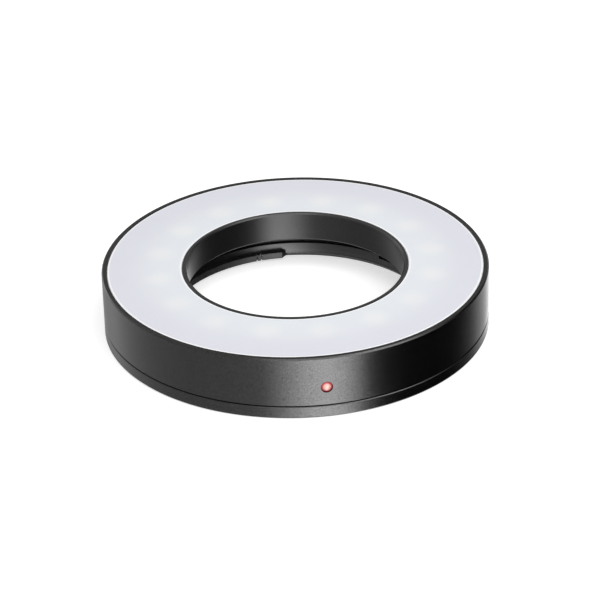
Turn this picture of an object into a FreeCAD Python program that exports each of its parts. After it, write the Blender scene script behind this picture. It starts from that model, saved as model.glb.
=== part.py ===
import FreeCAD, Part
import Sketcher

import math
import os

from FreeCAD import Placement, Rotation, Vector

# Macro ring light that clips on the nose of a lens. Millimetres, +Z towards the lit face.
# The origin is on the ring's axis at the plane of the back face. The red dot is at -Y and
# the power socket at +Y.

doc = FreeCAD.newDocument("RingLight")

# Driving sizes in millimetres and degrees. Radii are worked out from the lens socket
# outwards and heights from the back face upwards.
SIZES = {
    # Lens socket and its bayonet
    "socket_diameter": 41.7,
    "seat_width": 3.97,
    "seat_drop": 0.46,
    "undercut_depth": 0.6,
    "lip_height": 1.08,
    "notch_start": 23.0,
    "notch_angle": 18.8,
    "notch_depth": 0.65,
    "lug_depth": 0.85,
    "lug_thickness": 1.03,
    "lug_lift": 0.48,
    "lug_angle": 53.0,
    "lug_start": 88.0,
    "lug_bevel": 3.7,
    "slot_width": 0.2,
    "slot_depth": 0.4,
    "slot_angle": 9.7,
    "slot_spacing": 2.05,
    # Walls and floors
    "socket_wall": 1.35,
    "driver_pocket_width": 6.7,
    "driver_pocket_depth": 3.71,
    "outer_wall": 1.1,
    "rim_wall": 0.79,
    "bore_wall": 0.64,
    "web_thickness": 0.9,
    "cover_thickness": 2.11,
    "cover_rebate": 0.51,
    "spigot_height": 0.4,
    "spigot_width": 0.8,
    "ledge_width": 0.62,
    "rim_step": 0.07,
    "edge_chamfer": 0.2,
    "bore_chamfer": 0.25,
    "foot_chamfer": 0.25,
    "lip_chamfer": 0.9,
    "seam_chamfer": 0.09,
    "seam_gap": 0.16,
    "seam_depth": 0.35,
    # Diffuser and light-emitting board
    "diffuser_thickness": 1.5,
    "diffuser_chamfer": 0.13,
    "led_board_thickness": 1.0,
    "led_length": 3.5,
    "led_width": 2.8,
    "led_height": 0.65,
    "led_gap": 0.15,
    "led_inset": 3.83,
    "led_start": 2.3,
    "lens_diameter": 2.3,
    "lens_recess": 0.1,
    # Driver board and its parts
    "driver_board_thickness": 0.8,
    "driver_board_angle": 76.0,
    "driver_boss_angle": 29.0,
    "chip_angle": -13.5,
    "coil_angle": 13.5,
    "input_capacitor_angle": 20.5,
    "output_capacitor_angle": -34.6,
    "diode_angle": 34.8,
    "chip_length": 2.9,
    "chip_width": 1.6,
    "chip_height": 1.0,
    "lead_width": 0.35,
    "lead_reach": 0.5,
    "lead_height": 0.2,
    "lead_pitch": 0.95,
    "coil_side": 3.0,
    "coil_height": 1.1,
    "coil_rim": 0.3,
    "coil_dish": 0.15,
    "capacitor_length": 2.0,
    "capacitor_width": 1.25,
    "capacitor_height": 0.9,
    "diode_length": 2.5,
    "diode_width": 1.3,
    "diode_height": 0.8,
    "resistor_length": 1.6,
    "resistor_width": 0.8,
    "resistor_height": 0.45,
    # Power socket
    "usb_width": 7.5,
    "usb_height": 2.5,
    "usb_depth": 5.0,
    "usb_sheet": 0.25,
    "usb_slope": 0.9,
    "usb_recess": 0.4,
    "wing_length": 1.2,
    "wing_width": 0.7,
    "tongue_width": 3.7,
    "tongue_thickness": 0.6,
    "tongue_length": 2.9,
    "tongue_drop": 0.35,
    "contact_width": 0.3,
    "contact_thickness": 0.1,
    "contact_pitch": 0.65,
    "contact_setback": 0.2,
    "block_depth": 1.2,
    # Link between the boards
    "pin_diameter": 0.5,
    "pin_pitch": 2.0,
    "pin_tail": 0.3,
    "spacer_length": 3.4,
    "spacer_width": 1.8,
    "link_angle": 68.8,
    # Fasteners
    "cover_screw_diameter": 1.6,
    "cover_screw_length": 4.2,
    "cover_head_diameter": 2.8,
    "cover_head_height": 0.7,
    "cover_screw_start": 45.0,
    "board_screw_diameter": 1.4,
    "board_head_diameter": 2.5,
    "board_head_height": 0.5,
    "led_screw_length": 3.0,
    "led_screw_start": 30.0,
    "led_screw_inset": 2.4,
    "driver_screw_length": 1.9,
    "boss_wall": 0.9,
    "cross_width": 0.32,
    "cross_length": 1.8,
    "cross_depth": 0.3,
    # Alignment dot
    "dot_diameter": 1.83,
    "dot_height": 5.12,
    "dot_hole_depth": 0.7,
    "dot_crown": 0.34,
    "dot_proud": 0.12,
    # Sprung click pin
    "click_pin_diameter": 1.0,
    "click_reach": 0.5,
    "click_flange_diameter": 1.5,
    "click_flange_height": 0.35,
    "click_floor": 0.4,
    "click_sleeve_wall": 0.35,
    "click_plug_height": 0.4,
    "click_wire": 0.18,
    "click_angle": -98.95,
    # Clearances
    "fit_gap": 0.05,
    "board_gap": 0.1,
    "window_gap": 0.2,
    "window_corner": 0.6,
}
LED_COUNT = 16
LUG_COUNT = 3
LED_SCREW_COUNT = 3
COVER_SCREW_COUNT = 4
STRING_COUNT = 4
CONTACT_COUNT = 5
LEAD_ROWS = 3
SPRING_TURNS = 4
WIRE_SIDES = 8
FULL_TURN = 360.0
QUARTER_TURN = 90.0

# How far a cutting tool runs past the surface that it cuts
OVERCUT = 1.0

sheet = doc.addObject("Spreadsheet::Sheet", "Sizes")
for row, (alias, number) in enumerate(SIZES.items(), start=1):
    sheet.set(f"A{row}", alias)
    sheet.set(f"B{row}", str(number))
    sheet.setAlias(f"B{row}", alias)
doc.recompute()


class Size:
    """A value together with the sheet expression that gives it."""

    def __init__(self, value, text):
        self.value = value
        self.text = text

    def __add__(self, other):
        other = as_size(other)
        return Size(self.value + other.value, f"({self.text} + {other.text})")

    def __sub__(self, other):
        other = as_size(other)
        return Size(self.value - other.value, f"({self.text} - {other.text})")

    def __mul__(self, other):
        other = as_size(other)
        return Size(self.value * other.value, f"({self.text} * {other.text})")

    def __truediv__(self, other):
        other = as_size(other)
        return Size(self.value / other.value, f"({self.text} / {other.text})")

    def __neg__(self):
        return Size(-self.value, f"(0 - {self.text})")


def as_size(item):
    """A plain number as a Size."""
    if isinstance(item, Size):
        return item
    return Size(float(item), f"({float(item)})")


def size(alias):
    """The Size of one cell of the sheet."""
    return Size(SIZES[alias], f"Sizes.{alias}")


def cosine(angle):
    return Size(math.cos(math.radians(angle.value)), f"cos({angle.text})")


def sine(angle):
    return Size(math.sin(math.radians(angle.value)), f"sin({angle.text})")


def polar(radius, angle):
    """The x and y of a point at a radius and an angle."""
    return (radius * cosine(angle), radius * sine(angle))


def evenly(start, count):
    """The angles of count things spaced evenly round the ring."""
    return [start + index * FULL_TURN / count for index in range(count)]


ZERO = as_size(0)

# Radii
socket_radius = size("socket_diameter") / 2
undercut_radius = socket_radius + size("undercut_depth")
lug_radius = socket_radius - size("lug_depth")
socket_outside = socket_radius + size("socket_wall")
pocket_outside = socket_outside + size("driver_pocket_width")
pocket_middle = (socket_outside + pocket_outside) / 2
outer_radius = pocket_outside + size("outer_wall")
rim_inside = outer_radius - size("rim_wall")
board_wall = rim_inside - size("ledge_width")
bore_radius = socket_radius - size("seat_width")
bore_outside = bore_radius + size("bore_wall")
inner_ledge = bore_outside + size("ledge_width")
led_radius = bore_outside + size("led_inset")
led_screw_radius = board_wall - size("led_screw_inset")
click_radius = inner_ledge + size("click_flange_diameter") / 2 + size("click_sleeve_wall")

# Heights
lug_top = size("lug_lift") + size("lug_thickness")
seam_height = size("cover_thickness")
foot_height = seam_height - size("cover_rebate")
lip_top = foot_height + size("lip_height")
pocket_top = seam_height + size("driver_pocket_depth")
seat_height = pocket_top - size("seat_drop")
web_top = pocket_top + size("web_thickness")
led_board_top = web_top + size("led_board_thickness")
led_space = size("led_height") + size("led_gap")
ledge_height = led_board_top + led_space
diffuser_top = ledge_height + size("diffuser_thickness")
total_height = diffuser_top + size("rim_step")
usb_middle = seam_height + size("driver_pocket_depth") / 2
driver_board_bottom = usb_middle - size("driver_board_thickness") / 2
driver_board_top = usb_middle + size("driver_board_thickness") / 2

parts = {}


def bind(item, name, amount):
    """Set a property of a feature and tie it to the sheet."""
    setattr(item, name, amount.value)
    item.setExpression(name, amount.text)


def place(item, spot, turn=None):
    """Put an object at a spot, turned about the vertical."""
    angle = ZERO if turn is None else turn
    rotation = Rotation(Vector(0, 0, 1), angle.value)
    item.Placement = Placement(Vector(*[value.value for value in spot]), rotation)
    for axis, value in zip("xyz", spot):
        item.setExpression(f"Placement.Base.{axis}", value.text)
    if turn is not None:
        item.setExpression("Placement.Rotation.Angle", turn.text)
    return item


def keep(label, item):
    """List an object as a finished piece of the light."""
    item.Label = label
    parts[label] = item
    return item


def new_body(label):
    return keep(label, doc.addObject("PartDesign::Body", label))


def origin_plane(body, role):
    return next(plane for plane in body.Origin.OriginFeatures if plane.Role == role)


def new_sketch(body, name, role="XY_Plane", lift=ZERO):
    """A sketch on one of the body's own planes, lifted along the plane's normal."""
    sketch = body.newObject("Sketcher::SketchObject", name)
    sketch.AttachmentSupport = [(origin_plane(body, role), "")]
    sketch.MapMode = "FlatFace"
    sketch.AttachmentOffset = Placement(Vector(0, 0, lift.value), Rotation())
    sketch.setExpression("AttachmentOffset.Base.z", lift.text)
    return sketch


def fix_coordinate(sketch, geometry, vertex, kind, amount):
    """Tie one coordinate of a sketch point to the sheet."""
    if abs(amount.value) < 1e-9:
        axis = -2 if kind == "DistanceX" else -1
        sketch.addConstraint(Sketcher.Constraint("PointOnObject", geometry, vertex, axis))
        return
    number = sketch.addConstraint(
        Sketcher.Constraint(kind, -1, 1, geometry, vertex, amount.value))
    sketch.setExpression(f"Constraints[{number}]", amount.text)


def fix_point(sketch, geometry, vertex, spot):
    fix_coordinate(sketch, geometry, vertex, "DistanceX", spot[0])
    fix_coordinate(sketch, geometry, vertex, "DistanceY", spot[1])


def fix_radius(sketch, geometry, radius):
    """Tie a circle's or arc's radius to the sheet."""
    number = sketch.addConstraint(Sketcher.Constraint("Radius", geometry, radius.value))
    sketch.setExpression(f"Constraints[{number}]", radius.text)


def flat(spot):
    return Vector(spot[0].value, spot[1].value, 0)


def draw_polygon(sketch, spots):
    """A closed run of straight lines through the spots."""
    first = sketch.GeometryCount
    count = len(spots)
    for index in range(count):
        ends = (flat(spots[index]), flat(spots[(index + 1) % count]))
        sketch.addGeometry(Part.LineSegment(*ends), False)
    for index in range(count):
        following = first + (index + 1) % count
        sketch.addConstraint(Sketcher.Constraint("Coincident", first + index, 2, following, 1))
    for index, spot in enumerate(spots):
        fix_point(sketch, first + index, 1, spot)


def draw_rectangle(sketch, low, high):
    draw_polygon(sketch, [low, (high[0], low[1]), high, (low[0], high[1])])


def draw_rounded_rectangle(sketch, low, high, radius):
    """A rectangle with an arc at each corner, drawn from the lower left corner round."""
    left, right = (low[0] + radius, high[0] - radius)
    bottom, top = (low[1] + radius, high[1] - radius)
    centres = [(left, bottom), (right, bottom), (right, top), (left, top)]
    arcs = []
    for index, centre in enumerate(centres):
        circle = Part.Circle(flat(centre), Vector(0, 0, 1), radius.value)
        start = math.radians(FULL_TURN / 2 + QUARTER_TURN * index)
        arc = Part.ArcOfCircle(circle, start, start + math.radians(QUARTER_TURN))
        arcs.append((sketch.addGeometry(arc, False), arc))
    for index, (number, arc) in enumerate(arcs):
        following, after = arcs[(index + 1) % len(arcs)]
        side = sketch.addGeometry(Part.LineSegment(arc.EndPoint, after.StartPoint), False)
        sketch.addConstraint(Sketcher.Constraint("Tangent", side, 1, number, 2))
        sketch.addConstraint(Sketcher.Constraint("Tangent", side, 2, following, 1))
    for centre, (number, arc) in zip(centres, arcs):
        fix_point(sketch, number, 3, centre)
        fix_radius(sketch, number, radius)


def draw_circle(sketch, centre, radius):
    """A circle of a radius about a centre."""
    geometry = sketch.addGeometry(Part.Circle(flat(centre), Vector(0, 0, 1), radius.value), False)
    fix_point(sketch, geometry, 3, centre)
    fix_radius(sketch, geometry, radius)


def draw_sector(sketch, inner, outer, inner_angles, outer_angles):
    """A piece of a ring: two arcs about the origin, joined by two straight ends."""
    corners = {}
    arcs = {}
    for radius, angles in ((inner, inner_angles), (outer, outer_angles)):
        start, end = angles
        circle = Part.Circle(Vector(0, 0, 0), Vector(0, 0, 1), radius.value)
        limits = (math.radians(start.value), math.radians(end.value))
        arc = sketch.addGeometry(Part.ArcOfCircle(circle, *limits), False)
        sketch.addConstraint(Sketcher.Constraint("Coincident", arc, 3, -1, 1))
        arcs[radius] = arc
        corners[radius] = (polar(radius, start), polar(radius, end))
    for end in (0, 1):
        line = sketch.addGeometry(
            Part.LineSegment(flat(corners[inner][end]), flat(corners[outer][end])), False)
        sketch.addConstraint(Sketcher.Constraint("Coincident", line, 1, arcs[inner], end + 1))
        sketch.addConstraint(Sketcher.Constraint("Coincident", line, 2, arcs[outer], end + 1))
    for radius, (start, end) in corners.items():
        fix_point(sketch, arcs[radius], 1, start)
        flatter = abs(end[0].value) > abs(end[1].value)
        kind = "DistanceY" if flatter else "DistanceX"
        fix_coordinate(sketch, arcs[radius], 2, kind, end[1] if flatter else end[0])


def extrude(body, kind, name, sketch, length, reverse=False):
    """A pad or a pocket of a sketch."""
    feature = body.newObject(f"PartDesign::{kind}", name)
    feature.Profile = sketch
    bind(feature, "Length", length)
    feature.Reversed = reverse
    sketch.Visibility = False
    return feature


def revolve(body, name, spots):
    """A full turn of a profile of radius and height about the ring's axis."""
    sketch = new_sketch(body, f"{name}_profile", "XZ_Plane")
    draw_polygon(sketch, spots)
    feature = body.newObject("PartDesign::Revolution", name)
    feature.Profile = sketch
    feature.ReferenceAxis = (sketch, ["V_Axis"])
    feature.Angle = FULL_TURN
    return feature


def drill(body, name, spots, radius, bottom, top):
    """Round holes through a body between two heights."""
    sketch = new_sketch(body, f"{name}_sketch", lift=top)
    for spot in spots:
        draw_circle(sketch, spot, radius)
    return extrude(body, "Pocket", name, sketch, top - bottom)


def raise_bosses(body, name, spots, radius, bottom, top):
    """Round bosses between two heights."""
    sketch = new_sketch(body, f"{name}_sketch", lift=bottom)
    for spot in spots:
        draw_circle(sketch, spot, radius)
    return extrude(body, "Pad", name, sketch, top - bottom)


def bar(angle, inner, outer, width, shift=ZERO):
    """Corners of a straight bar along a radius, moved sideways by a shift."""
    corners = []
    for radius, side in ((inner, -0.5), (outer, -0.5), (outer, 0.5), (inner, 0.5)):
        across = width * side + shift
        x, y = polar(radius, angle)
        corners.append((x - across * sine(angle), y + across * cosine(angle)))
    return corners


def box(name, low, high):
    """A block between two corners."""
    item = doc.addObject("Part::Box", name)
    for side, start, end in zip(("Length", "Width", "Height"), low, high):
        bind(item, side, end - start)
    return place(item, low)


def block(name, sides, spot, turn):
    """A block centred over a spot and turned about the vertical."""
    item = doc.addObject("Part::Box", name)
    for side, amount in zip(("Length", "Width", "Height"), sides):
        bind(item, side, amount)
    along, across = (sides[0] / 2, sides[1] / 2)
    corner = (spot[0] - along * cosine(turn) + across * sine(turn),
              spot[1] - along * sine(turn) - across * cosine(turn),
              spot[2])
    return place(item, corner, turn)


def rod(name, radius, bottom, top, spot=(ZERO, ZERO)):
    """An upright cylinder."""
    item = doc.addObject("Part::Cylinder", name)
    bind(item, "Radius", radius)
    bind(item, "Height", top - bottom)
    return place(item, (spot[0], spot[1], bottom))


def cut(name, base, tool):
    item = doc.addObject("Part::Cut", name)
    item.Base = base
    item.Tool = tool
    return item


def fuse(name, items):
    item = doc.addObject("Part::MultiFuse", name)
    item.Shapes = items
    return item


def group(label, items):
    """Separate solids that share one piece's name."""
    item = doc.addObject("Part::Compound", label)
    item.Links = items
    return keep(label, item)


# Places shared by the pieces
cover_screw_spots = [polar(pocket_middle, angle)
                     for angle in evenly(size("cover_screw_start"), COVER_SCREW_COUNT)]
led_screw_spots = [polar(led_screw_radius, angle)
                   for angle in evenly(size("led_screw_start"), LED_SCREW_COUNT)]
usb_angle = as_size(QUARTER_TURN)
driver_screw_spots = [polar(pocket_middle, usb_angle + size("driver_boss_angle") * side)
                      for side in (-1, 1)]
click_spot = polar(click_radius, size("click_angle"))
link_spots = [bar(size("link_angle"), pocket_middle, pocket_middle, ZERO,
                  size("pin_pitch") * side)[0]
              for side in (-0.5, 0.5)]

cover_screw_radius = size("cover_screw_diameter") / 2
board_screw_radius = size("board_screw_diameter") / 2
usb_mouth = outer_radius - size("usb_recess")
usb_back = usb_mouth - size("usb_depth")
flange_radius = size("click_flange_diameter") / 2
sleeve_bore = flange_radius + size("fit_gap")
sleeve_radius = sleeve_bore + size("click_sleeve_wall")
click_shelf = seat_height + size("click_floor")
flange_top = click_shelf + size("click_flange_height")
sleeve_top = ledge_height - size("led_gap")
plug_bottom = sleeve_top - size("click_plug_height")


def make_housing():
    """Turned channel: diffuser and light board in front, driver pocket and lens socket behind."""
    body = new_body("light_housing")
    edge = size("edge_chamfer")
    seam = size("seam_chamfer")
    bevel = size("bore_chamfer")
    revolve(body, "channel", [
        (socket_radius, foot_height),
        (socket_outside, foot_height),
        (socket_outside, pocket_top),
        (pocket_outside, pocket_top),
        (pocket_outside, seam_height),
        (outer_radius - seam, seam_height),
        (outer_radius, seam_height + seam),
        (outer_radius, total_height - edge),
        (outer_radius - edge, total_height),
        (rim_inside, total_height),
        (rim_inside, ledge_height),
        (board_wall, ledge_height),
        (board_wall, web_top),
        (inner_ledge, web_top),
        (inner_ledge, ledge_height),
        (bore_outside, ledge_height),
        (bore_outside, total_height),
        (bore_radius + edge, total_height),
        (bore_radius, total_height - edge),
        (bore_radius, seat_height + bevel),
        (bore_radius + bevel, seat_height),
        (undercut_radius, seat_height),
        (undercut_radius, lip_top),
        (socket_radius, lip_top),
    ])
    inside_web = pocket_top + size("web_thickness") / 2
    raise_bosses(body, "cover_bosses", cover_screw_spots,
                 cover_screw_radius + size("boss_wall"), seam_height, inside_web)
    led_boss_bottom = led_board_top - size("led_screw_length") - size("board_gap")
    raise_bosses(body, "led_board_bosses", led_screw_spots,
                 board_screw_radius + size("boss_wall"), led_boss_bottom, inside_web)
    raise_bosses(body, "driver_bosses", driver_screw_spots,
                 board_screw_radius + size("boss_wall"), driver_board_top, inside_web)
    raise_bosses(body, "click_sleeve", [click_spot], sleeve_radius, inside_web, sleeve_top)
    cover_hole_top = size("cover_screw_length") + size("board_gap")
    drill(body, "cover_screw_holes", cover_screw_spots,
          cover_screw_radius + size("fit_gap"), ZERO, cover_hole_top)
    drill(body, "led_screw_holes", led_screw_spots,
          board_screw_radius + size("fit_gap"), led_boss_bottom, web_top)
    driver_hole_top = driver_board_bottom + size("driver_screw_length") + size("board_gap")
    drill(body, "driver_screw_holes", driver_screw_spots,
          board_screw_radius + size("fit_gap"), driver_board_top, driver_hole_top)
    drill(body, "click_guide", [click_spot],
          size("click_pin_diameter") / 2 + size("fit_gap"), ZERO, click_shelf)
    drill(body, "click_chamber", [click_spot], sleeve_bore, click_shelf, total_height)
    notches = new_sketch(body, "notch_sketch", lift=lip_top)
    for start in evenly(size("notch_start"), LUG_COUNT):
        ends = (start, start + size("notch_angle"))
        draw_sector(notches, socket_radius - OVERCUT, undercut_radius, ends, ends)
    extrude(body, "Pocket", "lip_notches", notches, size("notch_depth"))
    slot = new_sketch(body, "link_slot_sketch", lift=web_top)
    draw_polygon(slot, bar(size("link_angle"),
                           pocket_middle - size("spacer_width") / 2 - size("board_gap"),
                           pocket_middle + size("spacer_width") / 2 + size("board_gap"),
                           size("spacer_length") + size("board_gap") * 2))
    extrude(body, "Pocket", "link_slot", slot, size("web_thickness"))
    window = new_sketch(body, "usb_window_sketch", "XZ_Plane", -pocket_middle)
    half_width = size("usb_width") / 2 + size("window_gap")
    half_height = size("usb_height") / 2 + size("window_gap")
    draw_rounded_rectangle(window, (-half_width, usb_middle - half_height),
                           (half_width, usb_middle + half_height), size("window_corner"))
    extrude(body, "Pocket", "usb_window", window, outer_radius - pocket_middle + OVERCUT)
    dot = new_sketch(body, "dot_hole_sketch", "XZ_Plane", outer_radius + OVERCUT)
    draw_circle(dot, (ZERO, size("dot_height")), size("dot_diameter") / 2)
    extrude(body, "Pocket", "dot_hole", dot, size("dot_hole_depth") + OVERCUT)


def make_cover():
    """Back ring with the three bayonet lugs, screwed to the housing from behind."""
    body = new_body("back_cover")
    seam = size("seam_chamfer")
    foot = size("foot_chamfer")
    lip = size("lip_chamfer")
    rebate = socket_outside + size("fit_gap")
    spigot_outside = pocket_outside - size("fit_gap")
    spigot_inside = spigot_outside - size("spigot_width")
    spigot_top = seam_height + size("spigot_height")
    shelf_height = seam_height - size("seam_gap")
    shelf_inside = outer_radius - size("seam_depth")
    revolve(body, "ring", [
        (socket_radius + lip, ZERO),
        (outer_radius - foot, ZERO),
        (outer_radius, foot),
        (outer_radius, shelf_height - seam),
        (outer_radius - seam, shelf_height),
        (shelf_inside, shelf_height),
        (shelf_inside, seam_height),
        (spigot_outside, seam_height),
        (spigot_outside, spigot_top),
        (spigot_inside, spigot_top),
        (spigot_inside, seam_height),
        (rebate, seam_height),
        (rebate, foot_height),
        (socket_radius, foot_height),
        (socket_radius, lip),
    ])
    lugs = new_sketch(body, "lug_sketch", lift=size("lug_lift"))
    root = socket_radius + size("lip_chamfer")
    for start in evenly(size("lug_start"), LUG_COUNT):
        end = start + size("lug_angle")
        bevel = size("lug_bevel")
        draw_sector(lugs, lug_radius, root, (start, end), (start - bevel, end + bevel))
    extrude(body, "Pad", "lugs", lugs, size("lug_thickness"))
    slots = new_sketch(body, "slot_sketch", lift=lug_top)
    slot_start = size("lug_start") + size("slot_angle")
    for angle in (slot_start, slot_start + size("slot_spacing")):
        draw_polygon(slots, bar(angle, lug_radius - OVERCUT, lug_radius + size("slot_depth"),
                                size("slot_width")))
    extrude(body, "Pocket", "lug_slots", slots, size("lug_thickness"))
    drill(body, "screw_holes", cover_screw_spots, cover_screw_radius + size("fit_gap"),
          ZERO, seam_height)
    for number, spot in enumerate(cover_screw_spots, start=1):
        sink = body.newObject("PartDesign::SubtractiveCone", f"countersink_{number}")
        bind(sink, "Radius1", size("cover_head_diameter") / 2 + size("fit_gap"))
        bind(sink, "Radius2", cover_screw_radius + size("fit_gap"))
        bind(sink, "Height", size("cover_head_height"))
        place(sink, (spot[0], spot[1], ZERO))


def make_diffuser():
    """Opal ring dropped into the front channel on its two ledges."""
    body = new_body("diffuser")
    inner = bore_outside + size("fit_gap")
    outer = rim_inside - size("fit_gap")
    edge = size("diffuser_chamfer")
    revolve(body, "plate", [
        (inner, ledge_height),
        (outer, ledge_height),
        (outer, diffuser_top - edge),
        (outer - edge, diffuser_top),
        (inner + edge, diffuser_top),
        (inner, diffuser_top - edge),
    ])


def make_led_board():
    """Ring board that carries the light sources."""
    body = new_body("led_board")
    outline = new_sketch(body, "outline", lift=web_top)
    draw_circle(outline, (ZERO, ZERO), board_wall - size("board_gap"))
    draw_circle(outline, (ZERO, ZERO), inner_ledge + size("board_gap"))
    extrude(body, "Pad", "board", outline, size("led_board_thickness"))
    drill(body, "screw_holes", led_screw_spots, board_screw_radius + size("fit_gap"),
          web_top, led_board_top)
    drill(body, "sleeve_notch", [click_spot], sleeve_radius + size("board_gap"),
          web_top, led_board_top)
    drill(body, "pin_holes", link_spots, size("pin_diameter") / 2 + size("fit_gap"),
          web_top, led_board_top)


def make_leds():
    """White packages with a round lit window, each in its own node."""
    for number, angle in enumerate(evenly(size("led_start"), LED_COUNT), start=1):
        name = f"led_{number:02d}"
        package = box(f"{name}_package",
                      (-size("led_width") / 2, -size("led_length") / 2, ZERO),
                      (size("led_width") / 2, size("led_length") / 2, size("led_height")))
        recess = rod(f"{name}_recess", size("lens_diameter") / 2,
                     size("led_height") - size("lens_recess"), size("led_height") + OVERCUT)
        led = keep(name, cut(name, package, recess))
        x, y = polar(led_radius, angle)
        place(led, (x, y, led_board_top), angle)


def make_board_screws(label, spots, seat, length, downwards):
    """Low-headed screws that hold a board to its bosses."""
    screws = []
    for number, spot in enumerate(spots, start=1):
        name = f"{label}_{number}"
        radius = size("board_head_diameter") / 2
        if downwards:
            head = rod(f"{name}_head", radius, seat, seat + size("board_head_height"), spot)
            shank = rod(f"{name}_shank", board_screw_radius, seat - length,
                        seat + size("board_head_height") / 2, spot)
        else:
            head = rod(f"{name}_head", radius, seat - size("board_head_height"), seat, spot)
            shank = rod(f"{name}_shank", board_screw_radius,
                        seat - size("board_head_height") / 2, seat + length, spot)
        screws.append(fuse(name, [head, shank]))
    group(label, screws)


def make_cover_screws():
    """Countersunk cross-head screws that hold the back cover."""
    screws = []
    for number, spot in enumerate(cover_screw_spots, start=1):
        name = f"cover_screw_{number}"
        head = doc.addObject("Part::Cone", f"{name}_head")
        bind(head, "Radius1", size("cover_head_diameter") / 2)
        bind(head, "Radius2", cover_screw_radius)
        bind(head, "Height", size("cover_head_height"))
        shank = rod(f"{name}_shank", cover_screw_radius, size("cover_head_height") / 2,
                    size("cover_screw_length"))
        reach = size("cross_length") / 2
        half = size("cross_width") / 2
        bars = [box(f"{name}_bar_{axis}", (-across, -along, as_size(-OVERCUT)),
                    (across, along, size("cross_depth")))
                for axis, across, along in (("x", reach, half), ("y", half, reach))]
        screw = cut(name, fuse(f"{name}_blank", [head, shank]), fuse(f"{name}_cross", bars))
        screws.append(place(screw, (spot[0], spot[1], ZERO)))
    group("cover_screws", screws)


def make_driver_board():
    """Arc-shaped board in the driver pocket, notched for the power socket."""
    body = new_body("driver_board")
    inner = socket_outside + size("board_gap") * 2
    outer = pocket_outside - size("fit_gap") - size("board_gap") * 2
    start = usb_angle - size("driver_board_angle") / 2
    end = usb_angle + size("driver_board_angle") / 2
    outline = new_sketch(body, "outline", lift=driver_board_bottom)
    draw_sector(outline, inner, outer, (start, end), (start, end))
    extrude(body, "Pad", "board", outline, size("driver_board_thickness"))
    notch = new_sketch(body, "notch_sketch", lift=driver_board_top)
    half = size("usb_width") / 2 + size("board_gap")
    draw_rectangle(notch, (-half, usb_back - size("board_gap")), (half, outer_radius))
    extrude(body, "Pocket", "socket_notch", notch, size("driver_board_thickness"))
    drill(body, "screw_holes", driver_screw_spots, board_screw_radius + size("fit_gap"),
          driver_board_bottom, driver_board_top)
    drill(body, "pin_holes", link_spots, size("pin_diameter") / 2 + size("fit_gap"),
          driver_board_bottom, driver_board_top)


def on_board(item, angle):
    """Hang a component from the driver board's underside."""
    x, y = polar(pocket_middle, usb_angle + angle)
    return place(item, (x, y, driver_board_bottom), usb_angle + angle)


def chip_part(label, angle, kind, radius=pocket_middle):
    """A plain two-ended component under the driver board."""
    sides = [size(f"{kind}_{side}") for side in ("width", "length", "height")]
    x, y = polar(radius, usb_angle + angle)
    spot = (x, y, driver_board_bottom - sides[2])
    return keep(label, block(label, sides, spot, usb_angle + angle))


def make_driver_parts():
    """The constant-current driver's components under its board."""
    leads = []
    half = size("chip_width") / 2
    for number in range(LEAD_ROWS):
        middle = size("lead_pitch") * (number - (LEAD_ROWS - 1) / 2)
        edge = size("lead_width") / 2
        leads.append(box(f"chip_lead_{number + 1}",
                         (-half - size("lead_reach"), middle - edge, -size("lead_height")),
                         (half + size("lead_reach"), middle + edge, ZERO)))
    package = box("chip_package", (-half, -size("chip_length") / 2, -size("chip_height")),
                  (half, size("chip_length") / 2, -size("lead_height") / 2))
    chip = fuse("driver_chip", [package] + leads)
    keep("driver_chip", on_board(chip, size("chip_angle")))
    reach = size("coil_side") / 2
    core = box("coil_core", (-reach, -reach, -size("coil_height")), (reach, reach, ZERO))
    dish = rod("coil_dish", reach - size("coil_rim"), -size("coil_height") - OVERCUT,
               -size("coil_height") + size("coil_dish"))
    keep("inductor", on_board(cut("inductor", core, dish), size("coil_angle")))
    chip_part("input_capacitor", size("input_capacitor_angle"), "capacitor")
    chip_part("output_capacitor", size("output_capacitor_angle"), "capacitor")
    chip_part("rectifier_diode", size("diode_angle"), "diode")
    chip_part("sense_resistor", ZERO, "resistor", (socket_outside + usb_back) / 2)


def make_led_resistors():
    """One balancing resistor for each string of lights, between two packages."""
    between = 1.5 * FULL_TURN / LED_COUNT
    sides = [size(f"resistor_{side}") for side in ("width", "length", "height")]
    resistors = []
    for number, angle in enumerate(evenly(size("led_start") + between, STRING_COUNT), start=1):
        x, y = polar(led_radius, angle)
        resistors.append(block(f"led_resistor_{number}", sides, (x, y, led_board_top), angle))
    group("led_resistors", resistors)


def usb_outline(inset):
    """Corners of the socket's section: level above, with sloping lower corners."""
    half = size("usb_width") / 2 - inset
    top = size("usb_height") / 2 - inset
    slope = size("usb_slope")
    return [(-half + slope, -top), (half - slope, -top), (half, -top + slope),
            (half, top), (-half, top), (-half, -top + slope)]


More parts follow.
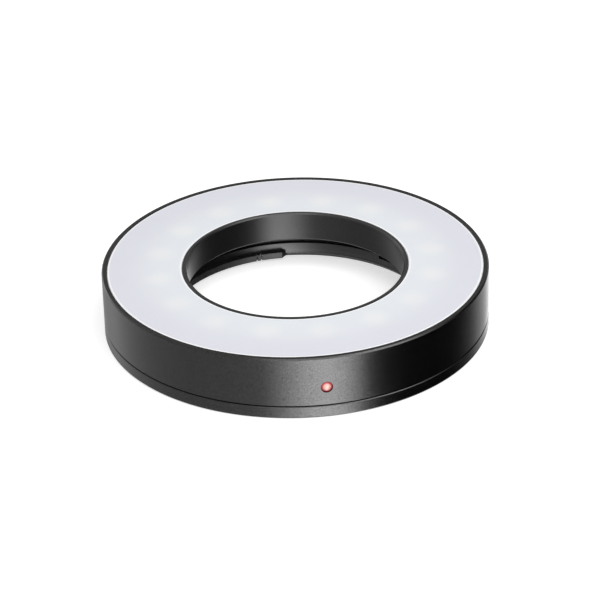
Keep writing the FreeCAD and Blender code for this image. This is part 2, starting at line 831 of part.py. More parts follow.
def make_usb():
    """Five-contact power socket, set half into the edge of the driver board."""
    spot = (ZERO, usb_mouth, usb_middle)
    shell = new_body("usb_shell")
    outline = new_sketch(shell, "outline", "XZ_Plane")
    draw_polygon(outline, usb_outline(ZERO))
    draw_polygon(outline, usb_outline(size("usb_sheet")))
    extrude(shell, "Pad", "sleeve", outline, size("usb_depth"))
    wings = new_sketch(shell, "wing_sketch", lift=size("driver_board_thickness") / 2)
    half = size("usb_width") / 2
    for side in (-1, 1):
        near = (half - size("usb_sheet") / 2) * side
        far = (half + size("wing_width")) * side
        low, high = (near, far) if side > 0 else (far, near)
        back = -size("usb_depth")
        draw_rectangle(wings, (low, back), (high, back + size("wing_length")))
    extrude(shell, "Pad", "wings", wings, size("usb_sheet"))
    place(shell, spot)

    insert = new_body("usb_insert")
    inside = size("usb_sheet") + size("fit_gap") / 2
    block = new_sketch(insert, "block_sketch", "XZ_Plane", size("usb_depth") - size("block_depth"))
    draw_polygon(block, usb_outline(inside))
    extrude(insert, "Pad", "block", block, size("block_depth"))
    tongue = new_sketch(insert, "tongue_sketch", "XZ_Plane",
                        size("usb_depth") - size("block_depth") - size("tongue_length"))
    top = size("usb_height") / 2 - inside - size("tongue_drop")
    half = size("tongue_width") / 2
    draw_rectangle(tongue, (-half, top - size("tongue_thickness")), (half, top))
    extrude(insert, "Pad", "tongue", tongue, size("tongue_length") + size("block_depth") / 2)
    place(insert, spot)

    contacts = []
    under = top - size("tongue_thickness")
    front = (size("block_depth") + size("tongue_length") - size("usb_depth")
             - size("contact_setback"))
    for number in range(CONTACT_COUNT):
        middle = size("contact_pitch") * (number - (CONTACT_COUNT - 1) / 2)
        edge = size("contact_width") / 2
        strip = box(f"contact_{number + 1}_strip",
                    (middle - edge, -size("usb_depth") + size("block_depth"),
                     under - size("contact_thickness")),
                    (middle + edge, front, under))
        nose = box(f"contact_{number + 1}_nose",
                   (middle - edge, front - size("contact_width"),
                    under - size("contact_thickness") * 2),
                   (middle + edge, front, under))
        contacts.append(fuse(f"contact_{number + 1}", [strip, nose]))
    place(group("usb_contacts", contacts), spot)


def make_link():
    """Two pins in a spacer that join the boards through the web."""
    spacer = new_body("link_spacer")
    outline = new_sketch(spacer, "outline", lift=driver_board_top)
    draw_polygon(outline, bar(size("link_angle"), pocket_middle - size("spacer_width") / 2,
                              pocket_middle + size("spacer_width") / 2, size("spacer_length")))
    for spot in link_spots:
        draw_circle(outline, spot, size("pin_diameter") / 2 + size("fit_gap"))
    extrude(spacer, "Pad", "block", outline, web_top - driver_board_top)
    pins = [rod(f"link_pin_{number}", size("pin_diameter") / 2,
                driver_board_bottom - size("pin_tail"), led_board_top + size("pin_tail"), spot)
            for number, spot in enumerate(link_spots, start=1)]
    group("link_pins", pins)


def make_dot():
    """Glossy bead set in the outer wall, which shows how to offer the light to the lens."""
    body = new_body("index_dot")
    radius = size("dot_diameter") / 2 - size("fit_gap") / 2
    crown = size("dot_crown")
    back = size("dot_hole_depth") + size("dot_proud")
    sketch = new_sketch(body, "profile", "XZ_Plane")
    sphere = (radius * radius + crown * crown) / (crown * 2)
    top = (ZERO, ZERO)
    shoulder = (radius, -crown)
    lines = [(shoulder, (radius, -back)), ((radius, -back), (ZERO, -back)), ((ZERO, -back), top)]
    for start, end in lines:
        sketch.addGeometry(Part.LineSegment(flat(start), flat(end)), False)
    circle = Part.Circle(Vector(0, -sphere.value, 0), Vector(0, 0, 1), sphere.value)
    sweep = math.asin(radius.value / sphere.value)
    arc = sketch.addGeometry(
        Part.ArcOfCircle(circle, math.pi / 2 - sweep, math.pi / 2), False)
    joins = ((0, 2, 1, 1), (1, 2, 2, 1), (2, 2, arc, 2), (arc, 1, 0, 1))
    for join in joins:
        sketch.addConstraint(Sketcher.Constraint("Coincident", *join))
    fix_point(sketch, 0, 1, shoulder)
    fix_point(sketch, 1, 1, (radius, -back))
    fix_point(sketch, 2, 1, (ZERO, -back))
    fix_point(sketch, 2, 2, top)
    sketch.addConstraint(Sketcher.Constraint("PointOnObject", arc, 3, -2))
    bead = body.newObject("PartDesign::Revolution", "bead")
    bead.Profile = sketch
    bead.ReferenceAxis = (sketch, ["V_Axis"])
    bead.Angle = FULL_TURN
    turned = Rotation(Vector(1, 0, 0), QUARTER_TURN)
    proud = outer_radius + size("dot_proud")
    body.Placement = Placement(Vector(0, -proud.value, size("dot_height").value), turned)
    body.setExpression("Placement.Base.y", (-proud).text)
    body.setExpression("Placement.Base.z", size("dot_height").text)


def make_click_stop():
    """Sprung pin in the lens seat, which drops into the lens nose's dimple."""
    pin = new_body("click_pin")
    radius = size("click_pin_diameter") / 2
    nose = radius / 2
    tip = seat_height - size("click_reach")
    revolve(pin, "pin", [
        (ZERO, tip),
        (radius - nose, tip),
        (radius, tip + nose),
        (radius, click_shelf),
        (flange_radius, click_shelf),
        (flange_radius, flange_top),
        (ZERO, flange_top),
    ])
    place(pin, (click_spot[0], click_spot[1], ZERO))

    spring = new_body("click_spring")
    wire = size("click_wire") / 2
    coil = flange_radius - wire - size("fit_gap")
    profile = new_sketch(spring, "wire_sketch", "XZ_Plane")
    corners = [polar(wire, angle) for angle in evenly(ZERO, WIRE_SIDES)]
    draw_polygon(profile, [(coil + x, flange_top + wire + y) for x, y in corners])
    helix = spring.newObject("PartDesign::AdditiveHelix", "coil")
    helix.Profile = profile
    helix.ReferenceAxis = (profile, ["V_Axis"])
    helix.Mode = "height-turns-angle"
    bind(helix, "Height", plug_bottom - flange_top - wire * 2)
    helix.Turns = SPRING_TURNS
    place(spring, (click_spot[0], click_spot[1], ZERO))

    keep("click_plug", rod("click_plug", flange_radius, plug_bottom, sleeve_top, click_spot))


def check_document():
    """Stop at any feature that failed, and at any piece that isn't a sound solid."""
    doc.recompute()
    for item in doc.Objects:
        if "Invalid" in item.State or "Error" in item.State:
            raise RuntimeError(f"{item.Name} failed: {item.State}")
    for label, item in parts.items():
        if item.Shape.isNull() or not item.Shape.isValid() or not item.Shape.Solids:
            raise RuntimeError(f"{label} is not a valid solid")


def export_parts():
    os.makedirs("parts", exist_ok=True)
    for label, item in parts.items():
        item.Shape.exportStep(os.path.join("parts", f"{label}.step"))
        print(f"{label}: {len(item.Shape.Solids)} solids, {item.Shape.Volume:.2f} mm3")


make_housing()
make_cover()
make_diffuser()
make_led_board()
make_leds()
make_led_resistors()
make_board_screws("led_board_screws", led_screw_spots, led_board_top,
                  size("led_screw_length"), True)
make_driver_board()
make_driver_parts()
make_board_screws("driver_board_screws", driver_screw_spots, driver_board_bottom,
                  size("driver_screw_length"), False)
make_usb()
make_link()
make_cover_screws()
make_dot()
make_click_stop()
check_document()
export_parts()
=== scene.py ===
import math

import bpy
from mathutils import Matrix, Vector


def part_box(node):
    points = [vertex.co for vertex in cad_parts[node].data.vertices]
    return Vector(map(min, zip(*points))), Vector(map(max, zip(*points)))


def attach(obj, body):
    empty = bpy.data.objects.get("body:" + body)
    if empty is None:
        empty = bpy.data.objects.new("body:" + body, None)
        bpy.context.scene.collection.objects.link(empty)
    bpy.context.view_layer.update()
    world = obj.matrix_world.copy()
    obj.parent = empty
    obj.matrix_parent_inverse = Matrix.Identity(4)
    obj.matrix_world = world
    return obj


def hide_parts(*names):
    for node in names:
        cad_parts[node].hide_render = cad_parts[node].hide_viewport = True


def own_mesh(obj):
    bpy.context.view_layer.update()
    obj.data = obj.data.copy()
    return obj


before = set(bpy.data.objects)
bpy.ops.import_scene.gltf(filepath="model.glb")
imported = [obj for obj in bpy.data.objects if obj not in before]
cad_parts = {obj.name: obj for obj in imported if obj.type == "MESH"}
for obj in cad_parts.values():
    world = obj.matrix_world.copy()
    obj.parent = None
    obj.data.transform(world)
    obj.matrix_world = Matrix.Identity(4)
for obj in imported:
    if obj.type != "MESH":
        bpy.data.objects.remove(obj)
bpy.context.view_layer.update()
scene = bpy.context.scene
MM = 0.001

# Camera: where it stands, the point that its axis meets, its tilt about that axis and its lens
CAMERA_AT = Vector((-56.969, -407.647, 229.742)) * MM
AIM_AT = Vector((-1.076, -11.866, 10.09)) * MM
CAMERA_ROLL = math.radians(-1.6366)
LENS = 180.651
SENSOR = 36.0

# Studio: one soft box overhead, the world's soft light, and the table top. What the table gives
# off to the camera and its own lit tone add up to white
LAMP_AZIMUTH = math.radians(-70)
LAMP_ELEVATION = math.radians(64)
LAMP_DISTANCE = 0.7
LAMP_SIDE = 0.7
LAMP_POWER = 4.75
LAMP_AIM = Vector((0, 0, 5 * MM))
WORLD_STRENGTH = 0.48
TABLE_GLOW = 0.62
TABLE_REACH = 2.5
TABLE_DEPTH = 0.02 * MM
SHADE_DEPTH = 0.01 * MM

# What the dark walls mirror: brightness along curved cards, each stop with its azimuth in
# degrees. The strip is a light in front that fades to black on the right and to white on the
# left. Low and grey cards close the circle behind, below the horizon and above it
CARD_DISTANCE = 0.4
STRIP_LEVELS = [(-180, 1.05), (-166, 1.0), (-150, 1.08), (-128, 1.17), (-116, 1.36),
                (-104, 4.45), (-92, 8.7), (-80, 10.3), (-69, 6.8), (-58, 0.45), (-48, 0.06),
                (-36, 0.015), (-10, 0.01), (10, 0.045), (24, 0.23), (34, 0.6), (44, 0.8)]
LOW_LEVELS = [(44.1, 0.8), (50, 0.86), (58, 1.6), (72, 2.6), (84, 0.8), (110, 0.38),
              (120, 0.62), (132, 0.9), (150, 1.02), (180, 1.05)]
GREY_LEVELS = [(44.1, 0.8), (60, 0.55), (104, 0.55), (124, 0.8)]

# Height of the strip above which it is no brighter than white, and of the fade below that
STRIP_TOP = 0.08
TOP_FADE = 0.1

# Slanting cards in front of those: what the chamfers mirror overhead, on the right and on the left
SLANT_DISTANCE = 0.38
RIBBON_LEVELS = [(-72, 4.5), (-58, 7.5), (-44, 9.5), (-30, 8.6), (-16, 3.4), (-4, 0.9), (8, 0.2)]
DIM_LEVELS = [(8.1, 0.03), (18, 0.05), (30, 0.08), (36, 0.3), (42, 0.8), (52, 0.8)]
LEFT_LEVELS = [(119, 1.8), (130, 3.0), (142, 1.8), (155, 1.5), (169.4, 1.5)]

# Share of what the walls mirror from below that a disc lets through, by distance from the axis
# in millimetres: painted shadow of the ring on the table, dim in the hole and dark below the ring
SHADE_LEVELS = [(0, 0.48), (2.7, 0.48), (4.4, 0.68), (6.5, 0.74), (8.9, 0.62), (11.4, 0.39),
                (13.8, 0.39), (16.2, 0.62), (17.5, 0.92), (18.4, 1.0), (19.6, 0.36),
                (20.4, 1.0), (21.2, 0.5), (22, 0.12), (24, 0.35), (30.0, 0.35), (30.24, 1.0)]

# Black metal: both tones of its fleck, and the radii between which its look changes, from the
# hole's walls to the outer wall and from the lugs' tips to the lip
METAL_DARK = (0.0235, 0.0233, 0.0235)
METAL_PALE = (0.0485, 0.0483, 0.0485)
HOLE_TO_OUTSIDE = (21.6 * MM, 22.0 * MM)
TIPS_TO_LIP = (20.1 * MM, 20.3 * MM)

# Opal ring: its tones beside the hole, beside the rim, in a painted glow over a light, in a cloud
# and in a painted highlight on its edges
OPAL_INSIDE = (0.757, 0.790, 0.823)
OPAL_OUTSIDE = (0.700, 0.706, 0.768)
OPAL_PAINTED_GLOW = (0.838, 0.842, 0.828)
OPAL_CLOUD = (0.74, 0.75, 0.81)
OPAL_EDGE_HIGHLIGHT = (0.97, 0.97, 0.98)

# Angle between two facets from which their shared edge stays sharp
SHARP_FROM = math.radians(28)

BLACK = (0.0, 0.0, 0.0)
WHITE = (1.0, 1.0, 1.0)


def middle(node):
    """Middle of a node's box."""
    low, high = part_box(node)
    return (low + high) / 2


# Sizes of the ring light, from its imported parts
LEDS = sorted(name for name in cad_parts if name.startswith("led_") and name[4:].isdigit())
LED_RADIUS = middle(LEDS[0]).xy.length
LED_START = math.atan2(middle(LEDS[0]).y, middle(LEDS[0]).x)
LED_SPACING = math.tau / len(LEDS)
DIFFUSER_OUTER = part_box("diffuser")[1].x
DIFFUSER_INNER = min(corner.co.xy.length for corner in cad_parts["diffuser"].data.vertices)
DOT_HEIGHT = middle("index_dot").z


class Graph:
    """A material's nodes, each made by one call."""

    def __init__(self, name):
        self.material = bpy.data.materials.new(name)
        self.material.use_nodes = True
        self.tree = self.material.node_tree
        self.tree.nodes.clear()
        output = self.tree.nodes.new("ShaderNodeOutputMaterial")
        self.shader = self.tree.nodes.new("ShaderNodeBsdfPrincipled")
        self.tree.links.new(self.shader.outputs[0], output.inputs["Surface"])
        self.place = self.tree.nodes.new("ShaderNodeTexCoord").outputs["Object"]

    def put(self, socket, value):
        """Give a socket a link or a constant."""
        if isinstance(value, bpy.types.NodeSocket):
            self.tree.links.new(value, socket)
        elif isinstance(value, tuple) and len(value) == 3 and socket.type == "RGBA":
            socket.default_value = (*value, 1.0)
        else:
            socket.default_value = value

    def set(self, **values):
        """Set the shader's own sockets, with underscores for spaces."""
        for name, value in values.items():
            self.put(self.shader.inputs[name.replace("_", " ")], value)

    def math(self, operation, first, second=0.0):
        node = self.tree.nodes.new("ShaderNodeMath")
        node.operation = operation
        self.put(node.inputs[0], first)
        self.put(node.inputs[1], second)
        return node.outputs[0]

    def length(self, first, second):
        """Length of a vector with these two parts."""
        return self.math("SQRT", self.math("ADD", self.math("MULTIPLY", first, first),
                                           self.math("MULTIPLY", second, second)))

    def split(self, vector):
        node = self.tree.nodes.new("ShaderNodeSeparateXYZ")
        self.put(node.inputs[0], vector)
        return node.outputs

    def noise(self, grain, detail=2.0, stretch=(1, 1, 1), rough=0.5):
        """Noise whose features are about one grain across, in metres."""
        mapping = self.tree.nodes.new("ShaderNodeMapping")
        mapping.inputs["Scale"].default_value = stretch
        self.put(mapping.inputs["Vector"], self.place)
        node = self.tree.nodes.new("ShaderNodeTexNoise")
        self.put(node.inputs["Vector"], mapping.outputs[0])
        self.put(node.inputs["Scale"], 1.0 / grain)
        self.put(node.inputs["Detail"], detail)
        self.put(node.inputs["Roughness"], rough)
        return node.outputs["Fac"]

    def span(self, value, low, high, to_low=0.0, to_high=1.0, smooth=False):
        """Map a value from one range to another, and hold it at both ends."""
        node = self.tree.nodes.new("ShaderNodeMapRange")
        node.interpolation_type = "SMOOTHSTEP" if smooth else "LINEAR"
        for socket, number in zip(node.inputs, (value, low, high, to_low, to_high)):
            self.put(socket, number)
        return node.outputs[0]

    def mix(self, share, first, second):
        """Mix two colours by the share of the second."""
        node = self.tree.nodes.new("ShaderNodeMix")
        node.data_type = "RGBA"
        self.put(node.inputs["Factor"], share)
        self.put(node.inputs[6], first)
        self.put(node.inputs[7], second)
        return node.outputs[2]

    def levels(self, value, stops):
        """Grey that changes with a value along a list of stops, as a number."""
        first, last = stops[0][0], stops[-1][0]
        peak = brightest(stops)
        node = self.tree.nodes.new("ShaderNodeValToRGB")
        self.put(node.inputs[0], self.span(value, first, last))
        elements = node.color_ramp.elements
        for place, _ in stops[1:-1]:
            elements.new((place - first) / (last - first))
        for element, (_, level) in zip(elements, stops):
            element.color = (level / peak, level / peak, level / peak, 1.0)
        return self.math("MULTIPLY", node.outputs[0], peak)

    def bump(self, height, depth):
        """A bump of a depth in metres."""
        node = self.tree.nodes.new("ShaderNodeBump")
        self.put(node.inputs["Strength"], 1.0)
        self.put(node.inputs["Distance"], depth)
        self.put(node.inputs["Height"], height)
        self.put(self.shader.inputs["Normal"], node.outputs[0])

    def radius(self):
        """Distance from the ring's axis."""
        x, y, _ = self.split(self.place)
        return self.length(x, y)

    def led_distance(self):
        """Distance from the nearest light source's middle, seen from above."""
        x, y, _ = self.split(self.place)
        angle = self.math("SUBTRACT", self.math("ARCTAN2", y, x), LED_START - LED_SPACING / 2)
        turn = self.math("FRACT", self.math("DIVIDE", angle, LED_SPACING))
        turn = self.math("MULTIPLY", self.math("SUBTRACT", turn, 0.5), LED_SPACING)
        radius = self.radius()
        along = self.math("SUBTRACT", self.math("MULTIPLY", radius, self.math("COSINE", turn)),
                          LED_RADIUS)
        across = self.math("MULTIPLY", radius, self.math("SINE", turn))
        return self.length(along, across)


def brightest(stops):
    """Highest level in a list of stops."""
    return max(level for _, level in stops)


def seen_plainly(tree):
    """1 where the camera, a mirror or glass looks at a surface, and 0 where it lights others."""
    path = tree.nodes.new("ShaderNodeLightPath").outputs
    seen = path["Is Camera Ray"]
    for name in ("Is Glossy Ray", "Is Transmission Ray"):
        either = tree.nodes.new("ShaderNodeMath")
        either.operation = "MAXIMUM"
        tree.links.new(seen, either.inputs[0])
        tree.links.new(path[name], either.inputs[1])
        seen = either.outputs[0]
    return seen


def anodised(name, grain, hole_metallic, hole_softer, tips_softer=0.0):
    """Bead-blasted and dyed aluminium: softer in the hole and on the lugs, calmer in the hole."""
    graph = Graph(name)
    speck = graph.noise(grain, detail=3.0, rough=0.6)
    cloud = graph.noise(6 * MM)
    radius = graph.radius()
    fleck = graph.math("SUBTRACT", graph.span(speck, 0.3, 0.7), 0.5)
    fleck = graph.math("MULTIPLY", fleck, graph.span(radius, *HOLE_TO_OUTSIDE, 0.3, 1.0))
    fleck = graph.math("ADD", fleck, 0.5)
    rough = graph.math("ADD", graph.span(speck, 0.25, 0.75, 0.19, 0.27),
                       graph.span(cloud, 0.3, 0.7, -0.02, 0.02))
    rough = graph.math("ADD", rough, graph.span(radius, *HOLE_TO_OUTSIDE, hole_softer, 0.0))
    rough = graph.math("ADD", rough, graph.span(radius, *TIPS_TO_LIP, tips_softer, 0.0))
    graph.set(Base_Color=graph.mix(fleck, METAL_DARK, METAL_PALE), Roughness=rough)
    graph.set(Metallic=graph.span(radius, *HOLE_TO_OUTSIDE, hole_metallic, 0.96))
    graph.set(Specular_IOR_Level=0.45, IOR=1.5)
    graph.bump(speck, 0.001 * MM)
    return graph.material


def opal():
    """Opal acrylic: a painted glow over the light sources, where their packages show through, and
    a painted highlight along both edges.
    """
    graph = Graph("opal_acrylic")
    radius = graph.radius()
    spread = graph.span(radius, DIFFUSER_INNER + 2 * MM, DIFFUSER_OUTER - 1.5 * MM, smooth=True)
    base = graph.mix(spread, OPAL_INSIDE, OPAL_OUTSIDE)
    # painted glow: paler over each light source, where its package shows through the opal
    glow = graph.span(graph.led_distance(), 0.4 * MM, 3.2 * MM, 1.0, 0.0, smooth=True)
    lit = graph.mix(graph.math("MULTIPLY", glow, 0.6), base, OPAL_PAINTED_GLOW)
    cloud = graph.span(graph.noise(9 * MM), 0.35, 0.65, 0.0, 0.25)
    shade = graph.mix(cloud, lit, OPAL_CLOUD)
    # painted highlight: near white along both edges of the opal ring
    rim = graph.math("MAXIMUM",
                     graph.span(radius, DIFFUSER_OUTER - 0.42 * MM, DIFFUSER_OUTER - 0.2 * MM),
                     graph.span(radius, DIFFUSER_INNER + 0.42 * MM, DIFFUSER_INNER + 0.2 * MM))
    graph.set(Base_Color=graph.mix(rim, shade, OPAL_EDGE_HIGHLIGHT), IOR=1.49)
    graph.set(Roughness=graph.span(graph.noise(0.4 * MM), 0.3, 0.7, 0.38, 0.46))
    graph.bump(graph.noise(0.3 * MM, detail=3.0), 0.001 * MM)
    return graph.material


def enamel():
    """Red bead with a painted highlight, pale pink, in its middle."""
    graph = Graph("red_enamel")
    cloud = graph.noise(0.5 * MM)
    x, _, z = graph.split(graph.place)
    distance = graph.length(x, graph.math("SUBTRACT", z, DOT_HEIGHT))
    painted_highlight = graph.span(distance, 0.42 * MM, 0.76 * MM, 1.0, 0.0, smooth=True)
    red = graph.mix(cloud, (0.66, 0.045, 0.065), (0.76, 0.06, 0.085))
    # painted highlight: the bead turns pale pink in its middle
    graph.set(Base_Color=graph.mix(painted_highlight, red, (0.97, 0.52, 0.45)))
    graph.set(Roughness=graph.span(cloud, 0.3, 0.7, 0.30, 0.38), IOR=1.5)
    graph.set(Coat_Weight=0.3, Coat_Roughness=0.25)
    return graph.material


def metal(name, colour, rough, grain, stretch=(1, 1, 1)):
    """Plated or drawn metal with fine drag marks."""
    graph = Graph(name)
    mark = graph.noise(grain, detail=4.0, stretch=stretch, rough=0.65)
    duller = tuple(part * 0.86 for part in colour)
    graph.set(Base_Color=graph.mix(graph.span(mark, 0.3, 0.7), duller, colour), Metallic=1.0)
    graph.set(Roughness=graph.span(mark, 0.25, 0.75, rough * 0.8, rough * 1.25))
    graph.bump(mark, 0.002 * MM)
    return graph.material


def grainy(name, dark, pale, rough, grain):
    """Moulded plastic, ceramic or ferrite: two close tones in a fine grain."""
    graph = Graph(name)
    speck = graph.noise(grain, detail=3.0)
    graph.set(Base_Color=graph.mix(graph.span(speck, 0.3, 0.7), dark, pale))
    graph.set(Roughness=graph.span(speck, 0.25, 0.75, rough * 0.88, rough * 1.12))
    graph.bump(speck, 0.003 * MM)
    return graph.material


def board(name, mask, track):
    """Solder mask over tracks that run beside each other round the ring."""
    graph = Graph(name)
    wander = graph.span(graph.noise(3 * MM), 0.3, 0.7, -0.6 * MM, 0.6 * MM)
    lane = graph.math("FRACT", graph.math("DIVIDE", graph.math("ADD", graph.radius(), wander),
                                          0.9 * MM))
    line = graph.math("GREATER_THAN", lane, 0.55)
    graph.set(Base_Color=graph.mix(line, mask, track))
    graph.set(Roughness=graph.span(graph.noise(0.2 * MM), 0.3, 0.7, 0.32, 0.42))
    graph.bump(line, 0.02 * MM)
    return graph.material


def led_package():
    """White package with a yellow phosphor window in its middle."""
    graph = Graph("lamp_package")
    window = graph.span(graph.led_distance(), 1.08 * MM, 1.14 * MM, 1.0, 0.0)
    speck = graph.noise(0.12 * MM)
    phosphor = graph.mix(speck, (0.82, 0.62, 0.06), (0.88, 0.72, 0.12))
    package = graph.mix(speck, (0.80, 0.79, 0.75), (0.86, 0.85, 0.82))
    graph.set(Base_Color=graph.mix(window, package, phosphor))
    graph.set(Roughness=graph.span(window, 0.0, 1.0, 0.5, 0.3))
    graph.bump(speck, 0.002 * MM)
    return graph.material


def dress(material, *names):
    """Give nodes a material and round their shading, with edges kept."""
    for name in names:
        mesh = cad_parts[name].data
        mesh.materials.clear()
        mesh.materials.append(material)
        mesh.shade_smooth()
        mesh.set_sharp_from_angle(angle=SHARP_FROM)


def dress_body():
    """Materials of what the photo shows, and of the light sources."""
    dress(anodised("anodised_body", 0.2 * MM, hole_metallic=0.72, hole_softer=0.08),
          "light_housing")
    dress(anodised("anodised_cover", 0.21 * MM, hole_metallic=0.35, hole_softer=0.06,
                   tips_softer=0.22), "back_cover")
    dress(opal(), "diffuser")
    dress(enamel(), "index_dot")
    dress(led_package(), *LEDS)


def dress_inside():
    """Materials of the boards and what they carry, the power socket, the screws and the pin."""
    dress(board("white_mask", mask=(0.80, 0.81, 0.79), track=(0.74, 0.75, 0.72)), "led_board")
    dress(board("green_mask", mask=(0.012, 0.115, 0.040), track=(0.030, 0.190, 0.070)),
          "driver_board")
    dress(grainy("black_ceramic", (0.02, 0.02, 0.022), (0.035, 0.035, 0.037), 0.35, 0.1 * MM),
          "led_resistors", "sense_resistor")
    dress(grainy("tan_ceramic", (0.36, 0.25, 0.14), (0.44, 0.32, 0.20), 0.5, 0.08 * MM),
          "input_capacitor", "output_capacitor")
    dress(grainy("moulded_black", (0.018, 0.018, 0.019), (0.032, 0.032, 0.033), 0.5, 0.15 * MM),
          "driver_chip", "rectifier_diode", "usb_insert", "link_spacer")
    dress(grainy("ferrite", (0.07, 0.07, 0.075), (0.11, 0.11, 0.115), 0.6, 0.1 * MM), "inductor")
    dress(metal("bright_plate", (0.72, 0.71, 0.69), 0.26, 0.5 * MM, (1, 8, 1)), "usb_shell")
    dress(metal("gold_plate", (0.93, 0.70, 0.32), 0.22, 0.2 * MM), "usb_contacts", "link_pins")
    dress(metal("nickel_screws", (0.66, 0.65, 0.62), 0.3, 0.2 * MM),
          "led_board_screws", "driver_board_screws")
    dress(metal("black_oxide", (0.045, 0.045, 0.05), 0.38, 0.12 * MM), "cover_screws")
    dress(metal("polished_steel", (0.70, 0.70, 0.70), 0.18, 0.3 * MM, (1, 1, 6)), "click_pin")
    dress(metal("spring_wire", (0.58, 0.57, 0.55), 0.3, 0.1 * MM), "click_spring")
    dress(metal("turned_brass", (0.80, 0.62, 0.30), 0.3, 0.15 * MM), "click_plug")


def add(name, data):
    """Put an object into the scene."""
    thing = bpy.data.objects.new(name, data)
    scene.collection.objects.link(thing)
    return thing


def new_mesh(name, corners, faces, material):
    mesh = bpy.data.meshes.new(name)
    mesh.from_pydata(corners, [], faces)
    mesh.materials.append(material)
    return mesh


def click_wire():
    """The spring behind the click pin, a copy of its solid."""
    wire = add("click_wire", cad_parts["click_spring"].data.copy())
    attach(wire, "ring_light")
    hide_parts("click_spring")
    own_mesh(wire)


def floor():
    """Pale table top that looks brighter than it is, so that it reads as white."""
    graph = Graph("table_top")
    graph.set(Base_Color=graph.mix(graph.noise(40 * MM), (0.625, 0.625, 0.625),
                                   (0.635, 0.635, 0.635)))
    graph.set(Roughness=0.9, Specular_IOR_Level=0.0, Emission_Color=WHITE)
    graph.set(Emission_Strength=graph.math("MULTIPLY", seen_plainly(graph.tree), TABLE_GLOW))
    corners = [(x * TABLE_REACH, y * TABLE_REACH, 0)
               for x, y in ((-1, -1), (1, -1), (1, 1), (-1, 1))]
    table = add("floor", new_mesh("floor", corners, [(0, 1, 2, 3)], graph.material))
    table.location.z = -TABLE_DEPTH
    table.visible_glossy = False


def mirrored_alone(thing):
    """Let a stage object show in reflections and nowhere else."""
    thing.visible_camera = False
    thing.visible_diffuse = False
    thing.visible_transmission = False
    thing.visible_shadow = False


def table_shade():
    """Disc of painted shadow that dims what the walls mirror from below, in the hole and under the
    ring.
    """
    graph = Graph("table_shade")
    passed = graph.levels(graph.math("DIVIDE", graph.radius(), MM), SHADE_LEVELS)
    graph.set(Base_Color=BLACK, Roughness=1.0, Specular_IOR_Level=0.0)
    graph.set(Alpha=graph.math("SUBTRACT", 1.0, passed))
    steps = 72
    reach = SHADE_LEVELS[-1][0] * MM
    turns = [math.tau * step / steps for step in range(steps)]
    corners = [(math.cos(turn) * reach, math.sin(turn) * reach, 0) for turn in turns]
    shade = add("table_shade", new_mesh("table_shade", corners, [tuple(range(steps))],
                                        graph.material))
    shade.location.z = -SHADE_DEPTH
    mirrored_alone(shade)


def surround(name, levels, foot, height, distance=CARD_DISTANCE, top=None):
    """Curved card round the ring light, whose foot runs from one height to another.

    From its top up, if it has one, nothing on it is brighter than white."""
    graph = Graph(name)
    x, y, z = graph.split(graph.place)
    azimuth = graph.math("DIVIDE", graph.math("ARCTAN2", y, x), math.radians(1))
    level = graph.levels(azimuth, levels)
    if top is not None:
        level = graph.math("MINIMUM", level,
                           graph.span(z, top - TOP_FADE, top, brightest(levels), 1.0))
    graph.set(Base_Color=BLACK, Roughness=1.0, Specular_IOR_Level=0.0)
    graph.set(Emission_Color=WHITE, Emission_Strength=level)
    graph.material.cycles.emission_sampling = "NONE"
    steps = 48
    first, last = levels[0][0], levels[-1][0]
    corners = []
    for step in range(steps + 1):
        share = step / steps
        turn = math.radians(first + (last - first) * share)
        low = foot[0] + (foot[1] - foot[0]) * share
        for rise in (low, low + height):
            corners.append((math.cos(turn) * distance, math.sin(turn) * distance, rise))
    faces = [(n, n + 2, n + 3, n + 1) for n in range(0, steps * 2, 2)]
    mirrored_alone(add(name, new_mesh(name, corners, faces, graph.material)))


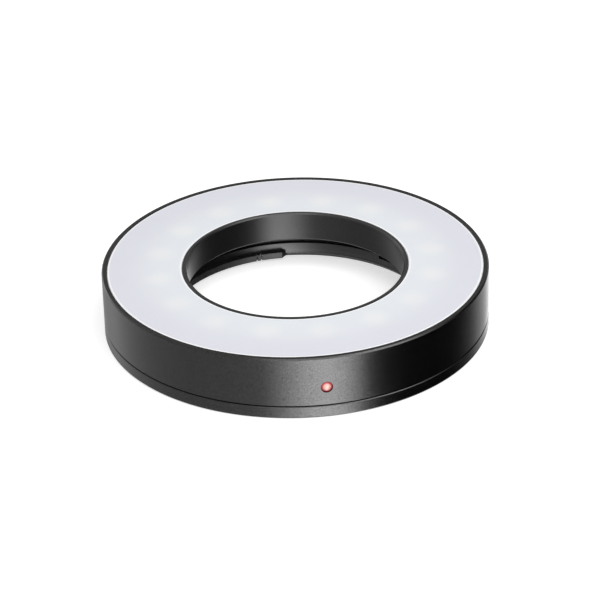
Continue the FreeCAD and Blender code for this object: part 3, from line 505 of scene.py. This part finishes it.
def overhead_lamp():
    """Square soft box that faces the ring light."""
    data = bpy.data.lights.new("overhead", "AREA")
    data.shape = "SQUARE"
    data.size = LAMP_SIDE
    data.energy = LAMP_POWER
    lamp = add("overhead", data)
    across = math.cos(LAMP_ELEVATION)
    way = Vector((math.cos(LAMP_AZIMUTH) * across, math.sin(LAMP_AZIMUTH) * across,
                  math.sin(LAMP_ELEVATION)))
    lamp.location = LAMP_AIM + way * LAMP_DISTANCE
    lamp.rotation_mode = "QUATERNION"
    lamp.rotation_quaternion = way.to_track_quat("Z", "Y")
    lamp.visible_camera = False


def surroundings():
    """World that looks white and lights the object softly."""
    world = bpy.data.worlds.new("studio")
    scene.world = world
    world.use_nodes = True
    world.cycles.sampling_method = "NONE"
    tree = world.node_tree
    tree.nodes.clear()
    output = tree.nodes.new("ShaderNodeOutputWorld")
    blend = tree.nodes.new("ShaderNodeMixShader")
    tree.links.new(seen_plainly(tree), blend.inputs[0])
    for place, strength in ((1, WORLD_STRENGTH), (2, 1.0)):
        backdrop = tree.nodes.new("ShaderNodeBackground")
        backdrop.inputs["Strength"].default_value = strength
        tree.links.new(backdrop.outputs[0], blend.inputs[place])
    tree.links.new(blend.outputs[0], output.inputs["Surface"])


def camera():
    data = bpy.data.cameras.new("camera")
    data.lens = LENS
    data.sensor_width = SENSOR
    data.clip_start = 0.01
    data.clip_end = 20.0
    view = add("camera", data)
    ahead = (AIM_AT - CAMERA_AT).normalized()
    turn = ahead.to_track_quat("-Z", "Y").to_matrix() @ Matrix.Rotation(CAMERA_ROLL, 3, "Z")
    view.matrix_world = Matrix.Translation(CAMERA_AT) @ turn.to_4x4()
    scene.camera = view


scene.view_settings.view_transform = "Standard"
dress_body()
dress_inside()
click_wire()
floor()
table_shade()
surroundings()
overhead_lamp()
surround("strip_card", STRIP_LEVELS, foot=(-0.7, -0.7), height=1.2, top=STRIP_TOP)
surround("low_card", LOW_LEVELS, foot=(-0.7, -0.7), height=0.7)
surround("grey_card", GREY_LEVELS, foot=(0.0, 0.0), height=0.4)
surround("ribbon_card", RIBBON_LEVELS, foot=(0.505, 0.142), height=0.133, distance=SLANT_DISTANCE)
surround("dim_card", DIM_LEVELS, foot=(0.185, -0.058), height=0.13, distance=SLANT_DISTANCE)
surround("left_card", LEFT_LEVELS, foot=(-0.013, 0.266), height=0.12, distance=SLANT_DISTANCE)
camera()
